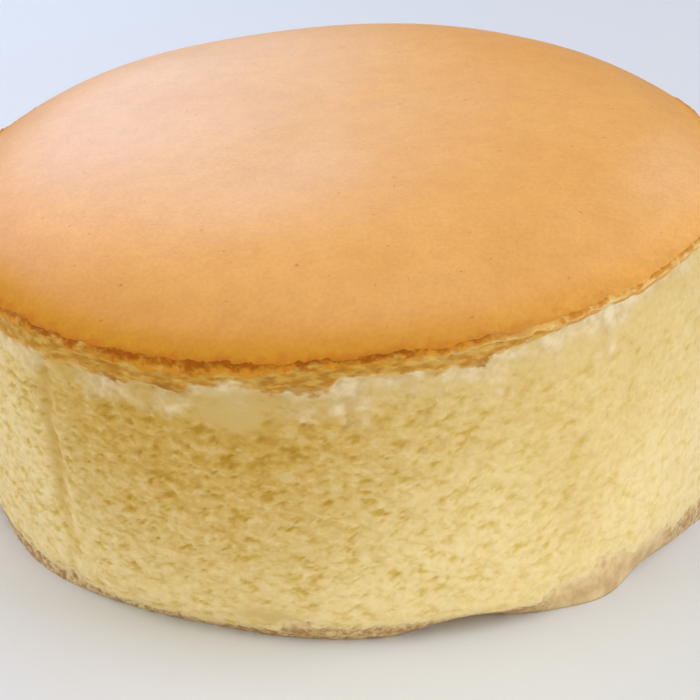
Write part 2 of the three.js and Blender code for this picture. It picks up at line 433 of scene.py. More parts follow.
def wavered(along, aside, waver):
    """How far a pit's outline moves: a wave along one way, which drifts with the place the other way."""
    pitch, drift, drift_pitch = waver
    return PIT_WAVER * np.sin(pitch * along + drift * np.sin(drift_pitch * aside))


def all_pits(azimuth, below):
    """The scattered and the longer pits together, their outlines wavy."""
    across = np.radians(azimuth) * SIDE_RADIUS / MM
    azimuth = azimuth + wavered(below, across, SIDEWAYS_WAVER)
    below = below + wavered(across, below, UPWARD_WAVER)
    wide = pitted(azimuth, below, WIDE_PITS, WIDE_PITS_SEED)
    small = pitted(azimuth, below, ROUND_PITS, ROUND_PITS_SEED)
    deepest = np.maximum(wide, ROUND_PITS_SHARE * small)
    for centre, drop, half_width, half_height in LONG_PITS:
        out = np.radians(degrees_from(azimuth, centre)) * SIDE_RADIUS / MM
        low = below - drop + LONG_PITS_SLANT * out
        distance = np.hypot(out / half_width, low / half_height)
        deepest = np.maximum(deepest, LONG_PITS_SHARE * hump(distance, 1))
    return deepest


def smooth_patches(azimuth, below):
    """1 where the crumb was left smooth, with nicked edges, and 0 elsewhere."""
    nearest = np.full_like(below, np.inf)
    for centre, drop, half_width, half_height in SMOOTH_PATCHES:
        out = degrees_from(azimuth, centre) / half_width
        nearest = np.minimum(nearest, np.hypot(out, (below - drop) / half_height))
    nicks = NICKS_SHARE * pitted(azimuth, below, WIDE_PITS, NICKS_SEED)
    return 1 - ease(nearest + nicks, *SMOOTH_EDGE)


def creased(azimuth, below):
    """How deep the crease is and how high the ridge to its right, from 0 to 1."""
    waver = CREASE_WAVER * (np.sin(below * 0.31) + 0.5 * np.sin(below * 0.83 + 1))
    across = np.radians(degrees_from(azimuth, CREASE_AZIMUTH)) * SIDE_RADIUS + waver
    strength = ease(below, *CREASE_SPAN) * (1 - CREASE_FADE * ease(below, *CREASE_END))
    crease = strength * hump(across, CREASE_HALF_WIDTH)
    ridge = strength * hump(across - 2 * CREASE_HALF_WIDTH, CREASE_HALF_WIDTH)
    return crease, ridge


def paleness_and_painted_light(azimuth, below, along_x):
    """How pale the crumb is: more so towards the foot, partly its own colour and partly painted light from
    below; painted light on both sides and on the left of the crease; and painted shade in a golden streak at
    the right.
    """
    foot = PALE_AND_LIT_FOOT_SHARE * ease(below, *PALE_AND_LIT_FOOT_SPAN)
    sides = LIT_SIDES_SHARE * ease(abs(along_x - LIT_SIDES_MIDDLE), *LIT_SIDES_SPAN)
    stretch = LIT_LEFT_STRETCH_SHARE * around(azimuth, *LIT_LEFT_STRETCH)
    streak = GOLDEN_STREAK_AND_SHADE_SHARE * ease(below, *GOLDEN_STREAK_AND_SHADE_SPAN) * around(azimuth, *GOLDEN_STREAK_AND_SHADE)
    return foot + sides + LEAST_PALE + stretch - streak


def make_sponge():
    """The sponge: turned, given its reliefs and the numbers that its material reads, and settled."""
    sponge = turned("sponge", sponge_section(), SPONGE_STEPS)
    plain = places(sponge)
    azimuth, radius = round_the_cake(plain)
    along_x = plain[:, 0] / MM
    below = (RIM_HEIGHT - plain[:, 2]) / MM
    side = (radius > SIDE_RADIUS - MM) * ease(below, *SIDE_SPAN)
    smooth = smooth_patches(azimuth, below)
    edge, brown = skin_edge(azimuth)
    inside_skin = edge - below
    skin = side * ease(inside_skin, -SKIN_EDGE_SOFTNESS, SKIN_EDGE_SOFTNESS)
    crease, ridge = creased(azimuth, below)
    finer = 1 - FINER_SHARE * ease(along_x, *FINER_SPAN)
    mottled = 0.35 + 0.65 * finer
    opened = 0.5 + 0.5 * ease(below, *OPEN_CRUMB_SPAN)
    crumb = side * (1 - 0.9 * smooth) * opened * (1 - 0.9 * skin)
    pit = crumb * (1 - 0.3 * ease(below, *SHALLOW_PITS_SPAN)) * all_pits(azimuth, below)

    weigh(sponge, "side", side * (1 - 0.8 * ease(below, *EVEN_SIDE_SPAN)))
    weigh(sponge, "band", side * ease(below, *BAND_SPAN) * (1 - ease(below, *BAND_END)))
    weigh(sponge, "crease", side * crease)
    weigh(sponge, "ridge", side * ridge)
    weigh(sponge, "crumb", crumb * finer * (1 - 0.8 * ease(below, *EVEN_CRUMB_SPAN)))
    weigh(sponge, "pits", pit * finer)
    weigh(sponge, "skin", skin)

    relief(sponge, "band", -BAND_RECESS)
    relief(sponge, "crease", -CREASE_DEPTH)
    relief(sponge, "ridge", RIDGE_SHARE * CREASE_DEPTH)
    relief(sponge, "side", *SIDE_SWELLS)
    relief(sponge, "side", *SIDE_FLUTES)
    relief(sponge, "crumb", *CRUMB_BUMPS)
    relief(sponge, "pits", -PIT_DEPTH)
    relief(sponge, "skin", SKIN_PROUD)
    relief(sponge, "skin", *SKIN_WRINKLES)

    past_white = below + WHITE_RISE_AT_THIN_RIM * thin_rim(azimuth) + WHITE_RISE
    # How deep the pits lie, for their relief and for the painted shade that the material lays in them
    keep(sponge, "pit", pit * mottled)
    keep(sponge, "rough", crumb * mottled)
    keep(sponge, "smooth", smooth)
    keep(sponge, "past_white", past_white - highest_hump(azimuth, WHITE_TUFTS))
    # Where the crease lies, for the painted shade that the material lays in it
    keep(sponge, "crease_shade", side * crease)
    keep(sponge, "inside_skin", inside_skin)
    keep(sponge, "brown", brown)
    # Paleness: partly painted light on the sides and from below, and painted shade in the streak
    keep(sponge, "pale", paleness_and_painted_light(azimuth, below, along_x))
    settle(sponge)
    return sponge


def rgb(red, green, blue):
    """A colour as it looks on a screen, 0 to 255, in the linear numbers that shaders take."""
    parts = [part / 255 for part in (red, green, blue)]
    return [part / 12.92 if part <= 0.04045 else ((part + 0.055) / 1.055) ** 2.4 for part in parts] + [1.0]


# Colours of the crumb and the golden skin. A tint darkens what it is laid over.
CRUMB_GOLD = rgb(197, 160, 74)
CRUMB_PALE = rgb(226, 204, 147)
CREST_CREAM = rgb(240, 224, 186)
HOLLOW_TINT = rgb(230, 212, 158)
GRAIN_TINT = rgb(238, 222, 186)
# Painted shade in the pits: darker and more golden
PIT_SHADE_TINT = rgb(230, 215, 112)
# Painted shade in the crease
PAINTED_CREASE_SHADE = rgb(192, 154, 72)
CURD_SHADE = rgb(202, 175, 124)
CURD_WHITE = rgb(228, 210, 172)
SMOOTH_CRUMB = rgb(202, 173, 108)
BROWN_TEAR = rgb(152, 94, 10)
SKIN_AMBER = rgb(180, 125, 33)
SKIN_GOLD = rgb(206, 161, 75)
SKIN_PALE = rgb(208, 172, 100)

# Patterns in those colours: size in metres and detail, then how they stretch along X, Y and Z, and twist
CRUMB_CLOUDS = (0.02, 2.0)
CRUMB_MOSAIC = (0.0027, 2.0, (1, 1.7, 0.66), 0.4)
CRUMB_GRAIN = (0.0013, 2.0)
PIT_EDGES = (0.0019, 2.0)
WHITE_RAGS = (0.008, 4.0, (1, 1, 0.6))
CURDS = (0.0032, 3.0)
SKIN_FRAYS = (0.0032, 4.0, (1, 1, 0.6))
SKIN_LAYERS = (0.0030, 3.0, (1, 1, 0.4))
SKIN_CLOUDS = (0.0060, 2.0)


def new_material(name, roughness, shine=0.5, soft=0.0, reach=(0.004, 0.002, 0.001)):
    """A material, its node tree and its shader. `reach` is how far light spreads below the surface."""
    material = bpy.data.materials.new(name)
    material.use_nodes = True
    shader = material.node_tree.nodes["Principled BSDF"]
    shader.inputs["Roughness"].default_value = roughness
    shader.inputs["Specular IOR Level"].default_value = shine
    shader.inputs["Subsurface Weight"].default_value = soft
    shader.inputs["Subsurface Radius"].default_value = reach
    shader.inputs["Subsurface Scale"].default_value = 1.0
    return material, material.node_tree, shader


def feed(tree, value, socket):
    """Links a socket to another, or sets it where the value is a plain one."""
    if isinstance(value, bpy.types.NodeSocket):
        tree.links.new(value, socket)
    else:
        socket.default_value = value


# The Mix node's sockets for colours go by number, because several of its sockets share a name
MIX_SHARE = 0
MIX_FIRST = 6
MIX_SECOND = 7
MIX_RESULT = 2


def mixed(tree, share, first, second, way="MIX"):
    """Mixes two colours by a share."""
    mix = tree.nodes.new("ShaderNodeMix")
    mix.data_type = "RGBA"
    mix.blend_type = way
    feed(tree, share, mix.inputs[MIX_SHARE])
    feed(tree, first, mix.inputs[MIX_FIRST])
    feed(tree, second, mix.inputs[MIX_SECOND])
    return mix.outputs[MIX_RESULT]


def scaled(tree, value, factor, plus=0.0):
    """A value times a factor, plus another."""
    made = tree.nodes.new("ShaderNodeMath")
    made.operation = "MULTIPLY_ADD"
    for number, socket in zip((value, factor, plus), made.inputs):
        feed(tree, number, socket)
    return made.outputs[0]


def reading(tree, name):
    """The number that keep() stored under this name."""
    made = tree.nodes.new("ShaderNodeAttribute")
    made.attribute_name = name
    return made.outputs["Fac"]


def ranged(tree, value, low, high, to_low=0.0, to_high=1.0):
    """A value's place between low and high, as 0 to 1 or as given, held at both ends."""
    made = tree.nodes.new("ShaderNodeMapRange")
    made.interpolation_type = "SMOOTHSTEP"
    for socket, number in zip(made.inputs, (value, low, high, to_low, to_high)):
        feed(tree, number, socket)
    return made.outputs["Result"]


def noise(tree, size, detail, stretch=(1, 1, 1), twist=0.0):
    """Noise on the piece's own place, with bumps about `size` metres across."""
    place = tree.nodes.new("ShaderNodeTexCoord").outputs["Object"]
    spread = tree.nodes.new("ShaderNodeMapping")
    tree.links.new(place, spread.inputs["Vector"])
    spread.inputs["Scale"].default_value = [1 / (size * share) for share in stretch]
    made = tree.nodes.new("ShaderNodeTexNoise")
    tree.links.new(spread.outputs["Vector"], made.inputs["Vector"])
    made.inputs["Scale"].default_value = 1.0
    made.inputs["Detail"].default_value = detail
    made.inputs["Distortion"].default_value = twist
    return made.outputs["Fac"]


def surface(tree, shader, colour, grain, strength, depth):
    """Gives the shader its colour and a fine grain, `depth` metres deep."""
    bump = tree.nodes.new("ShaderNodeBump")
    bump.inputs["Strength"].default_value = strength
    bump.inputs["Distance"].default_value = depth
    tree.links.new(grain, bump.inputs["Height"])
    tree.links.new(bump.outputs["Normal"], shader.inputs["Normal"])
    tree.links.new(colour, shader.inputs["Base Color"])


def golden_layers():
    """The layered golden skin under the rim, which the sponge and the torn edge share."""
    group = bpy.data.node_groups.new("golden skin", "ShaderNodeTree")
    group.interface.new_socket("Colour", in_out="OUTPUT", socket_type="NodeSocketColor")
    layers = ranged(group, noise(group, *SKIN_LAYERS), 0.36, 0.64)
    body = mixed(group, layers, SKIN_AMBER, SKIN_GOLD)
    pale = ranged(group, noise(group, *SKIN_CLOUDS), 0.5, 0.7, 0.0, 0.3)
    body = mixed(group, pale, body, SKIN_PALE)
    finished = group.nodes.new("NodeGroupOutput")
    group.links.new(body, finished.inputs["Colour"])
    return group


def colour_of(tree, group):
    """The colour that a shader node group puts out."""
    made = tree.nodes.new("ShaderNodeGroup")
    made.node_tree = group
    return made.outputs["Colour"]


def sponge_material(golden):
    """The crumb, its paleness partly painted light and shade, its pits and crease darkened by painted shade,
    and over it the white tufts, the smooth patches and the skin.
    """
    material, tree, shader = new_material(
        "sponge crumb", roughness=0.8, shine=0.2, soft=0.35, reach=(0.0035, 0.0022, 0.0010)
    )
    rough = reading(tree, "rough")
    # Paler crumb: partly its own colour, partly painted light on the sides and from below, less in a streak
    # of painted shade
    pale = scaled(tree, noise(tree, *CRUMB_CLOUDS), 0.3, reading(tree, "pale"))
    body = mixed(tree, pale, CRUMB_GOLD, CRUMB_PALE)

    mosaic = noise(tree, *CRUMB_MOSAIC)
    hollows = scaled(tree, ranged(tree, mosaic, 0.50, 0.32, 0.0, 0.45), rough)
    body = mixed(tree, hollows, body, HOLLOW_TINT, "MULTIPLY")
    crests = scaled(tree, ranged(tree, mosaic, 0.50, 0.68, 0.0, 0.20), rough)
    body = mixed(tree, crests, body, CREST_CREAM)
    grain = noise(tree, *CRUMB_GRAIN)
    body = mixed(tree, ranged(tree, grain, 0.60, 0.36, 0.0, 0.2), body, GRAIN_TINT, "MULTIPLY")
    # Painted shade: the pits are tinted darker and more golden
    pit = scaled(tree, noise(tree, *PIT_EDGES), 0.9, reading(tree, "pit"))
    body = mixed(tree, ranged(tree, pit, 0.42, 1.25, 0.0, 0.8), body, PIT_SHADE_TINT, "MULTIPLY")
    # Painted shade in the crease: a darker gold
    body = mixed(tree, ranged(tree, reading(tree, "crease_shade"), 0.1, 1.0, 0.0, 0.65), body, PAINTED_CREASE_SHADE)

    ragged = scaled(tree, noise(tree, *WHITE_RAGS), 22.0, reading(tree, "past_white"))
    curds = ranged(tree, noise(tree, *CURDS), 0.32, 0.68)
    cream = mixed(tree, curds, CURD_SHADE, CURD_WHITE)
    body = mixed(tree, ranged(tree, ragged, 24.5, 15.5, 0.0, 0.85), body, cream)
    body = mixed(tree, scaled(tree, reading(tree, "smooth"), 0.8), body, SMOOTH_CRUMB)

    frayed = scaled(tree, noise(tree, *SKIN_FRAYS), 6.0, reading(tree, "inside_skin"))
    body = mixed(tree, ranged(tree, frayed, 1.9, 4.1), body, colour_of(tree, golden))
    torn = scaled(tree, ranged(tree, frayed, 2.5, 3.1, 0.0, 0.9), ranged(tree, frayed, 4.8, 3.2))
    body = mixed(tree, scaled(tree, torn, reading(tree, "brown")), body, BROWN_TEAR)
    surface(tree, shader, body, grain, strength=0.5, depth=0.0003)
    return material


golden_skin = golden_layers()
sponge = make_sponge()
sponge.data.materials.append(sponge_material(golden_skin))
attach(sponge, "root")
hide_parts("cheesecake")


# Crust
# The smooth golden skin that the oven's heat set on top. It rises in a low dome, flat in the middle with a
# round shoulder, and browns towards the rim. The shoulder is also darkened by painted shade, and the right
# front is paler with a highlight, both painted light.
DOME_RISE = 0.0136
DOME_SQUARENESS = 5.2
CRUST_THICKNESS = 0.0022
CRUST_STEPS = 900
CRUST_ROWS = 64
CRUST_UNDER_STRIDE = 6

# The ragged rim of the crust: from and to, as a share of the radius
CRUST_RIM = (0.978, 1)

# Where painted light makes the rim paler, where the top is deep and where a painted highlight lies on its
# edge:
# azimuth and half width in degrees, then from and to, or middle and half width, as a share of the radius
LIT_RIM = (-33, 43)
LIT_RIM_SHARE = 0.9
DEEP_TOP = (38, 42)
DEEP_TOP_SPAN = (0.3, 0.9)
RIM_HIGHLIGHT = (-22, 16)
RIM_HIGHLIGHT_MIDDLE = 0.87
RIM_HIGHLIGHT_HALF_WIDTH = 0.1

DOME_SWELLS = (0.0004, 0.030, (1, 1, 1), 0)
RIM_NICKS = (0.0006, 0.0034, (1, 1, 30), 2)
RIM_WAVES = (0.0016, 0.0055, (1, 1, 30), 2)

CRUST_ROUGHNESS = 0.42
RIM_ROUGHNESS = 1.0
CRUST_GOLD = rgb(242, 178, 92)
CRUST_LIGHT = rgb(246, 184, 100)
CRUST_DEEP = rgb(236, 162, 58)
# A painted highlight on the right of the shoulder
CRUST_HIGHLIGHT = rgb(249, 193, 127)
# Partly browning, partly painted shade on the shoulder
SHOULDER_BROWN_AND_SHADE = rgb(220, 153, 54)
RIM_BROWN = rgb(209, 143, 22)
CHIP_BROWN = rgb(202, 120, 12)
PINHOLE_BROWN = rgb(186, 104, 30)
CRUST_GRAIN_TINT = rgb(228, 216, 200)
CRUST_CLOUD_TINT = rgb(228, 214, 192)

CRUST_MOTTLE = (0.022, 2.0)
CRUST_CHIPS = (0.0024, 4.0)
CRUST_GRAIN = (0.0009, 3.0)
CRUST_CLOUDS = (0.0045, 3.0)
PINHOLES = (0.0011, 0.0)


def dome_height(reach):
    """Height of the crust above its rim at a share of the radius."""
    return DOME_RISE * (1 - reach**DOME_SQUARENESS)


def crust_section():
    """Half section of the crust: over the top to the rim, and back under it in fewer steps."""
    reach = np.sin(np.linspace(0, pi / 2, CRUST_ROWS))
    top = [(SIDE_RADIUS * share, RIM_HEIGHT + dome_height(share)) for share in reach]
    under = [(out, up - CRUST_THICKNESS) for out, up in top[::-CRUST_UNDER_STRIDE]]
    return [*top, (SIDE_RADIUS, RIM_HEIGHT - 0.5 * CRUST_THICKNESS), *under]


def make_crust():
    """The crust: thinly waved, ragged at the rim, and with numbers for where it is deep gold, where painted
    light pales its rim and where a painted highlight lies.
    """
    crust = turned("crust", crust_section(), CRUST_STEPS)
    azimuth, radius = round_the_cake(places(crust))
    reach = radius / SIDE_RADIUS
    keep(crust, "reach", reach)
    # Painted light: the shoulder's brown and painted shade and the rim's brown are cut back at the right
    # front, where the light catches it
    keep(crust, "baked", 1 - LIT_RIM_SHARE * around(azimuth, *LIT_RIM))
    keep(crust, "deep", ease(reach, *DEEP_TOP_SPAN) * around(azimuth, *DEEP_TOP))
    # Where the painted highlight lies
    keep(crust, "painted_highlight", around(azimuth, *RIM_HIGHLIGHT) * hump(reach - RIM_HIGHLIGHT_MIDDLE, RIM_HIGHLIGHT_HALF_WIDTH))
    weigh(crust, "rim", ease(reach, *CRUST_RIM))
    relief(crust, "", *DOME_SWELLS)
    relief(crust, "rim", *RIM_NICKS)
    relief(crust, "rim", *RIM_WAVES, direction="Z")
    settle(crust)
    return crust


def crust_material():
    """Golden, browner at the rim, where it is also rough, and at the shoulder, partly as painted shade; paler
    at the right front and with a highlight at the right, both painted light; with grain and pinholes.
    """
    material, tree, shader = new_material(
        "golden crust", roughness=CRUST_ROUGHNESS, soft=0.12, reach=(0.003, 0.0012, 0.0005)
    )
    reach = reading(tree, "reach")
    # Less brown and shade where painted light falls on the right front
    baked = reading(tree, "baked")
    mottle = ranged(tree, noise(tree, *CRUST_MOTTLE), 0.3, 0.7)
    body = mixed(tree, mottle, CRUST_GOLD, CRUST_LIGHT)
    body = mixed(tree, scaled(tree, reading(tree, "deep"), 0.6), body, CRUST_DEEP)
    # Browner towards the shoulder: partly real browning, partly painted shade where it turns down away from
    # the light
    shoulder = scaled(tree, ranged(tree, reach, 0.77, 1.0), baked)
    body = mixed(tree, shoulder, body, SHOULDER_BROWN_AND_SHADE)
    outermost = scaled(tree, ranged(tree, reach, 0.93, 1.0), baked)
    body = mixed(tree, outermost, body, RIM_BROWN)
    # Painted highlight at the right of the shoulder
    body = mixed(tree, scaled(tree, reading(tree, "painted_highlight"), 0.8), body, CRUST_HIGHLIGHT)
    chipped = scaled(tree, noise(tree, *CRUST_CHIPS), 0.050, reach)
    chipped = scaled(tree, ranged(tree, chipped, 1.006, 1.024, 0.0, 0.85), baked)
    body = mixed(tree, chipped, body, CHIP_BROWN)

    grain = noise(tree, *CRUST_GRAIN)
    body = mixed(tree, ranged(tree, grain, 0.66, 0.34, 0.0, 0.26), body, CRUST_GRAIN_TINT, "MULTIPLY")
    clouds = ranged(tree, noise(tree, *CRUST_CLOUDS), 0.64, 0.36, 0.0, 0.18)
    body = mixed(tree, clouds, body, CRUST_CLOUD_TINT, "MULTIPLY")
    pinholes = ranged(tree, noise(tree, *PINHOLES), 0.81, 0.87, 0.0, 0.5)
    body = mixed(tree, pinholes, body, PINHOLE_BROWN)
    roughness = ranged(tree, reach, 0.90, 0.98, CRUST_ROUGHNESS, RIM_ROUGHNESS)
    tree.links.new(roughness, shader.inputs["Roughness"])
    surface(tree, shader, body, grain, strength=0.2, depth=0.0002)
    return material


crust = make_crust()
crust.data.materials.append(crust_material())
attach(crust, "root")
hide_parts("cheesecake")


# Torn edge
# The rim of the crust, where it baked brown against the paper and tore as the paper came off: a narrow rough
# lip that stands a little proud of the side.
EDGE_STEPS = 1500

# The lip's outline in millimetres out and up from the rim, with this many rows to each stretch, and the two
# hidden corners inside
LIP_OUTLINE = [
    (-0.8, 0.1),
    (0.1, -0.1),
    (0.55, -0.5),
    (0.75, -1.1),
    (0.7, -1.8),
    (0.4, -2.5),
    (-0.2, -3.2),
    (-1.2, -3.9),
]
LIP_ROWS = 4
LIP_ROOT = (-3.5, -0.8)
LIP_ROOT_BOTTOM = (-3.5, -3.4)
LIP_THINNING = 0.0016

# The lip's faces: from and to, as radius in metres
UPPER_FACE = (SIDE_RADIUS - 0.0012, SIDE_RADIUS - 0.0002)
OUTER_FACE = (SIDE_RADIUS - 0.0016, SIDE_RADIUS - 0.0004)

# Where the lip's parts set in or end, in millimetres below the rim
SLENDER_SPAN = (1.0, 2.2)
LIP_SPAN = (-0.6, 0.5)
UPPER_END = (1.0, 2.4)
LOWER_SPAN = (0.8, 2.8)
THIN_LIP_SHARE = 0.3

# How deep the baked brown reaches down the lip: azimuth in degrees, depth in millimetres
BROWN_DEPTHS = [
    (-180, 1.5),
    (-135, 1.9),
    (-126, 1.2),
    (-118, 1.5),
    (-112, 2.5),
    (-98, 2.0),
    (-90, 1.4),
    (-80, 1.0),
    (-74, 0.8),
    (-70, 1.6),
    (-64, 0.6),
    (-40, 0.4),
    (10, 0.5),
    (60, 1.4),
]

LIP_LUMPS = (0.0009, 0.0036, (1, 1, 0.7), 2)
LIP_HANGS = (0.0020, 0.0065, (1, 1, 30), 1)
LIP_CRUMBS = (0.0009, 0.0014, (1, 1, 0.8), 2)

BAKED_BROWN = rgb(160, 86, 2)
FADED_BROWN = rgb(204, 138, 36)
THIN_AMBER = rgb(202, 134, 40)
THIN_GOLD = rgb(227, 181, 99)
BARED_CRUMB = rgb(224, 203, 150)

BROWN_RAGS = (0.0036, 4.0, (1, 1, 0.6))
BROWN_PATCHES = (0.0060, 2.0)
BROWN_FLAKES = (0.0013, 4.0)
THIN_MOTTLE = (0.0030, 3.0)
BARED_RAGS = (0.0024, 3.0)
LIP_GRAIN = (0.0006, 3.0)


def edge_section():
    """Half section of the lip, from its hidden root round the outline and back."""
    drawn = [LIP_ROOT]
    for (out, up), (next_out, next_up) in zip(LIP_OUTLINE, LIP_OUTLINE[1:]):
        for row in range(LIP_ROWS):
            share = row / LIP_ROWS
            drawn.append((out + share * (next_out - out), up + share * (next_up - up)))
    drawn += [LIP_OUTLINE[-1], LIP_ROOT_BOTTOM, LIP_ROOT]
    return [(SIDE_RADIUS + out * MM, RIM_HEIGHT + up * MM) for out, up in drawn]


def make_torn_edge():
    """The lip: its upper face follows the crust's waves, and it is slimmer where the rim is thin."""
    edge = turned("torn_edge", edge_section(), EDGE_STEPS)
    at = places(edge)
    azimuth, radius = round_the_cake(at)
    below = (RIM_HEIGHT - at[:, 2]) / MM
    thin = thin_rim(azimuth)
    upper = ease(radius, *UPPER_FACE)
    outer = ease(radius, *OUTER_FACE)
    keep(edge, "below", below)
    keep(edge, "past_brown", below - np.interp(azimuth, *zip(*BROWN_DEPTHS), period=360))
    keep(edge, "thin", thin)
    weigh(edge, "slender", thin * outer * ease(below, *SLENDER_SPAN))
    weigh(edge, "lip", outer * ease(below, *LIP_SPAN) * (1 - THIN_LIP_SHARE * thin))
    weigh(edge, "upper", upper * (1 - ease(below, *UPPER_END)))
    weigh(edge, "lower", outer * ease(below, *LOWER_SPAN))
    relief(edge, "slender", -LIP_THINNING)
    relief(edge, "lip", *LIP_LUMPS)
    relief(edge, "upper", *RIM_WAVES, direction="Z")
    relief(edge, "lower", *LIP_HANGS, direction="Z")
    relief(edge, "lip", *LIP_CRUMBS)
    settle(edge)
    return edge


def edge_material(golden):
    """Baked brown above and golden below, fading to thin amber with bared crumb at the right."""
    material, tree, shader = new_material(
        "browned edge", roughness=0.7, shine=0.1, soft=0.1, reach=(0.002, 0.001, 0.0004)
    )
    thin = reading(tree, "thin")
    below = reading(tree, "below")
    patchy = scaled(tree, noise(tree, *BROWN_PATCHES), 6.0, below)
    faded = scaled(tree, noise(tree, *BROWN_FLAKES), 5.0, patchy)
    brown = mixed(tree, ranged(tree, faded, 5.2, 7.8), BAKED_BROWN, FADED_BROWN)
    past_brown = scaled(tree, noise(tree, *BROWN_RAGS), 9.0, reading(tree, "past_brown"))
    body = mixed(tree, ranged(tree, past_brown, 3.6, 5.5), brown, colour_of(tree, golden))

    mottle = ranged(tree, noise(tree, *THIN_MOTTLE), 0.38, 0.60)
    amber = mixed(tree, mottle, THIN_AMBER, THIN_GOLD)
    body = mixed(tree, ranged(tree, thin, 0.2, 0.9, 0.0, 0.85), body, amber)
    bared = scaled(tree, noise(tree, *BARED_RAGS), 2.4, below)
    bared = scaled(tree, ranged(tree, bared, 1.75, 2.9, 0.0, 0.9), thin)
    body = mixed(tree, bared, body, BARED_CRUMB)
    surface(tree, shader, body, noise(tree, *LIP_GRAIN), strength=0.5, depth=0.0002)
    return material


torn_edge = make_torn_edge()
torn_edge.data.materials.append(edge_material(golden_skin))
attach(torn_edge, "root")
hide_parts("cheesecake")


# Foot skin
# The thin tan skin that the batter baked to at the bottom. It covers the underside and turns up round the
# foot with a ragged edge: a thin fringe at the left, a scrap in the middle and a smooth skirt at the right.
FOOT_STEPS = 1300
FOOT_ROWS = 22
FOOT_SKIN_BASE = 0.0005
FOOT_SKIN_PROUD = 0.0003
FOOT_SKIN_DIVE = 0.0006
FOOT_SKIN_WALL = 0.0016
FOOT_SKIN_RISE = 9.0
FLOOR_THICKNESS = 0.0004
OUTER_MARGIN = 0.0001

# How high the skin turns up the foot: azimuth in degrees, height in millimetres
FOOT_SKIN_HEIGHTS = [
    (-150, 4.0),
    (-137, 4.2),
    (-128, 3.4),
    (-122, 2.2),
    (-108, 2.8),
    (-99.3, 2.4),
    (-98.6, 6.4),
    (-84, 6.0),
    (-76, 4.2),
    (-68, 5.0),
    (-59, 8.8),
    (-50, 10.6),
    (-42, 9.0),
    (-33, 6.0),
    (-18, 4.8),
    (12, 5.8),
    (40, 3.4),
    (90, 2.6),
    (140, 4.0),
    (180, 3.0),
]

# How torn the lowest skin is, and where it is high enough to be smooth, both beside FOOT_SKIN_RISE
LOW_TEARS = 0.35
SMOOTH_SKIRT_SPAN = (0.3, 0.8)
SMOOTH_SKIRT_SHARE = 0.7

FOOT_WAVES = (0.0028, 0.0070, (1, 1, 30), 1)
FOOT_TEARS = (0.0018, 0.0018, (1, 1, 30), 2)
FOOT_LUMPS = (0.0007, 0.0018, (1, 1, 1), 2)

TAN_SHADE = rgb(190, 157, 104)
TAN_LIGHT = rgb(210, 182, 131)
FLECK_BROWN = rgb(150, 106, 56)
CRUMB_BROWN = rgb(140, 96, 44)
FRAY_PALE = rgb(222, 196, 138)

TAN_MOTTLE = (0.005, 3.0)
TAN_FLECKS = (0.0016, 3.0)
TAN_CRUMBS = (0.0011, 1.0)
TAN_FRAYS = (0.0018, 3.0)
TAN_GRAIN = (0.0008, 3.0)


def foot_section():
    """Half section of the skin: along the floor, up the foot as a low wall, and back inside."""
    proud = FOOT_SKIN_PROUD - FOOT_SKIN_DIVE * np.linspace(0, 1, FOOT_ROWS) ** 3
    outer = list(zip(SIDE_RADIUS + proud, np.linspace(0, FOOT_SKIN_BASE, FOOT_ROWS)))
    inside = SIDE_RADIUS + FOOT_SKIN_PROUD - FOOT_SKIN_WALL
    inner = [(inside, FOOT_SKIN_BASE), (inside, FLOOR_THICKNESS)]
    return [(0, 0), *outer, *inner, (0, FLOOR_THICKNESS)]


def make_foot_skin():
    """The foot skin: its low wall is drawn up to its height all round, then torn along the edge."""
    skin = turned("foot_skin", foot_section(), FOOT_STEPS)
    at = places(skin)
    azimuth, radius = round_the_cake(at)
    outer = radius > SIDE_RADIUS + FOOT_SKIN_PROUD - FOOT_SKIN_DIVE - OUTER_MARGIN
    up = (radius > SIDE_RADIUS - FOOT_SKIN_WALL) * at[:, 2] / FOOT_SKIN_BASE
    rise = np.interp(azimuth, *zip(*FOOT_SKIN_HEIGHTS), period=360) / FOOT_SKIN_RISE
    keep(skin, "up", up)
    keep(skin, "height", rise)
    weigh(skin, "rise", up * rise)
    weigh(skin, "edge", up * (LOW_TEARS + (1 - LOW_TEARS) * rise))
    weigh(skin, "face", outer * (up > 0) * (1 - SMOOTH_SKIRT_SHARE * ease(rise, *SMOOTH_SKIRT_SPAN)))
    relief(skin, "rise", FOOT_SKIN_RISE * MM, direction="Z")
    relief(skin, "edge", *FOOT_WAVES, direction="Z")
    relief(skin, "edge", *FOOT_TEARS, direction="Z")
    relief(skin, "face", *FOOT_LUMPS)
    settle(skin)
    return skin


def foot_material():
    """Tan, flecked and crumbed with brown where it is low, and pale along its frayed edge."""
    material, tree, shader = new_material(
        "foot skin", roughness=0.6, soft=0.2, reach=(0.002, 0.0012, 0.0006)
    )
    rise = reading(tree, "height")
    mottle = ranged(tree, noise(tree, *TAN_MOTTLE), 0.35, 0.65)
    body = mixed(tree, mottle, TAN_SHADE, TAN_LIGHT)
    flecks = ranged(tree, noise(tree, *TAN_FLECKS), 0.46, 0.60)
    flecks = scaled(tree, flecks, ranged(tree, rise, 0.95, 0.5, 0.15, 0.75))
    body = mixed(tree, flecks, body, FLECK_BROWN)
    crumbs = ranged(tree, noise(tree, *TAN_CRUMBS), 0.52, 0.60)
    crumbs = scaled(tree, crumbs, ranged(tree, rise, 0.95, 0.75, 0.0, 0.55))
    body = mixed(tree, crumbs, body, CRUMB_BROWN)
    frayed = scaled(tree, noise(tree, *TAN_FRAYS), 1.2, reading(tree, "up"))
    body = mixed(tree, ranged(tree, frayed, 1.1, 1.6, 0.0, 0.9), body, FRAY_PALE)
    surface(tree, shader, body, noise(tree, *TAN_GRAIN), strength=0.4, depth=0.0002)
    return material


foot_skin = make_foot_skin()
foot_skin.data.materials.append(foot_material())
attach(foot_skin, "root")
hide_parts("cheesecake")


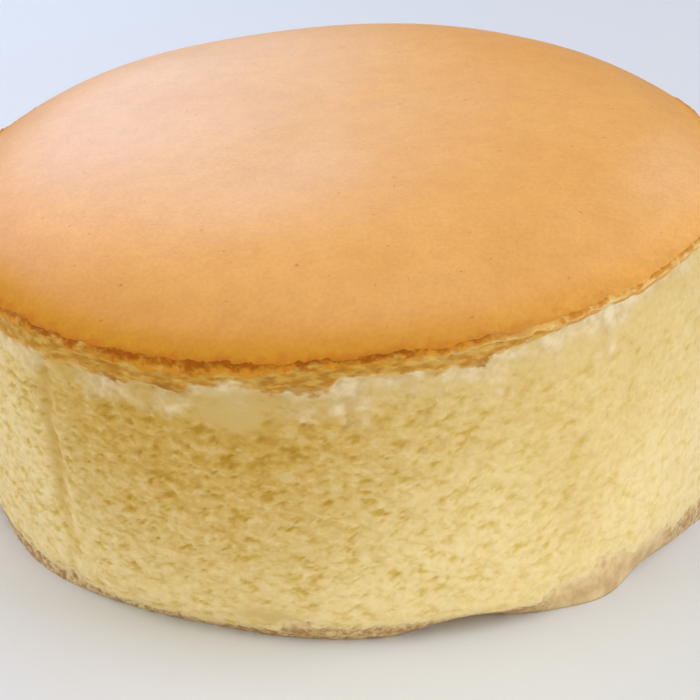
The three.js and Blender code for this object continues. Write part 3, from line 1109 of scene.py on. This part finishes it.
# Floor, lights and camera
# A plain pale floor under soft boxes that stand for daylight from windows behind and at the sides, with a
# little light from above, and the camera somewhat above the cake.
FLOOR_SIZE = 6.0
FLOOR_PALE = rgb(220, 223, 222)
DAYLIGHT = (1, 1, 1, 1)
DAYLIGHT_STRENGTH = 0.30

# The camera: width of the frame and focal length in pixels, sensor in millimetres, distance in metres
FRAME_PIXELS = 700
LENS_PIXELS = 1850
SENSOR = 36
CAMERA_DISTANCE = 0.455
CAMERA_PITCH = radians(29)
CAMERA_AIM = Vector((0.0001, 0, 0.021))

# Soft boxes: name, place, the place they point at, width and height in metres, power in watts, colour
SOFT_BOXES = [
    ("window", (-0.7, 1.0, 0.75), (0, 0, 0.05), 1.2, 0.9, 3.9, (0.66, 0.54, 1.0)),
    ("low window", (-0.3, 1.05, 0.45), (0, 0, 0.05), 0.5, 0.3, 2.3, (0.29, 0.65, 1.0)),
    ("lamp", (-1.0, 0.7, 0.45), (0, 0, 0.05), 0.9, 0.7, 2.4, (0.84, 0.72, 1.0)),
    ("side", (1.1, -0.1, 0.6), (0, 0, 0.03), 0.8, 0.8, 9.9, (0.79, 0.82, 1.0)),
    ("top", (0, -0.2, 1.3), (0, 0, 0.05), 1.0, 1.0, 5.6, (1.0, 0.94, 0.86)),
    ("left", (-1.1, -0.2, 0.4), (0, 0, 0.03), 0.8, 0.6, 5.8, (0.95, 0.97, 1.0)),
    ("card", (0.05, -0.26, 0.015), (0, -0.09, 0.012), 0.36, 0.03, 0.19, (1.0, 1.0, 0.9)),
]

bpy.ops.object.select_all(action="DESELECT")
bpy.ops.mesh.primitive_plane_add(size=FLOOR_SIZE, location=(0, 0, 0))
floor = bpy.context.object
floor.name = "floor"
floor_material, _, floor_shader = new_material("pale floor", roughness=0.6)
floor_shader.inputs["Base Color"].default_value = FLOOR_PALE
floor.data.materials.append(floor_material)

world = bpy.data.worlds.new("soft daylight")
bpy.context.scene.world = world
world.use_nodes = True
world.node_tree.nodes["Background"].inputs["Color"].default_value = DAYLIGHT
world.node_tree.nodes["Background"].inputs["Strength"].default_value = DAYLIGHT_STRENGTH


def soft_box(name, place, aim, width, height, power, colour):
    """An area light that points at a place on the cake."""
    lamp = bpy.data.lights.new(name, "AREA")
    lamp.shape = "RECTANGLE"
    lamp.size = width
    lamp.size_y = height
    lamp.energy = power
    lamp.color = colour
    light = bpy.data.objects.new(name, lamp)
    bpy.context.scene.collection.objects.link(light)
    light.location = place
    light.rotation_mode = "QUATERNION"
    light.rotation_quaternion = (Vector(aim) - Vector(place)).to_track_quat("-Z", "Y")


for box in SOFT_BOXES:
    soft_box(*box)

lens = bpy.data.cameras.new("camera")
lens.sensor_width = SENSOR
lens.lens = SENSOR * LENS_PIXELS / FRAME_PIXELS
camera = bpy.data.objects.new("camera", lens)
bpy.context.scene.collection.objects.link(camera)
looking = Vector((0, cos(CAMERA_PITCH), -sin(CAMERA_PITCH)))
camera.location = CAMERA_AIM - CAMERA_DISTANCE * looking
camera.rotation_euler = (pi / 2 - CAMERA_PITCH, 0, 0)
bpy.context.scene.camera = camera
bpy.context.scene.view_settings.view_transform = "Standard"
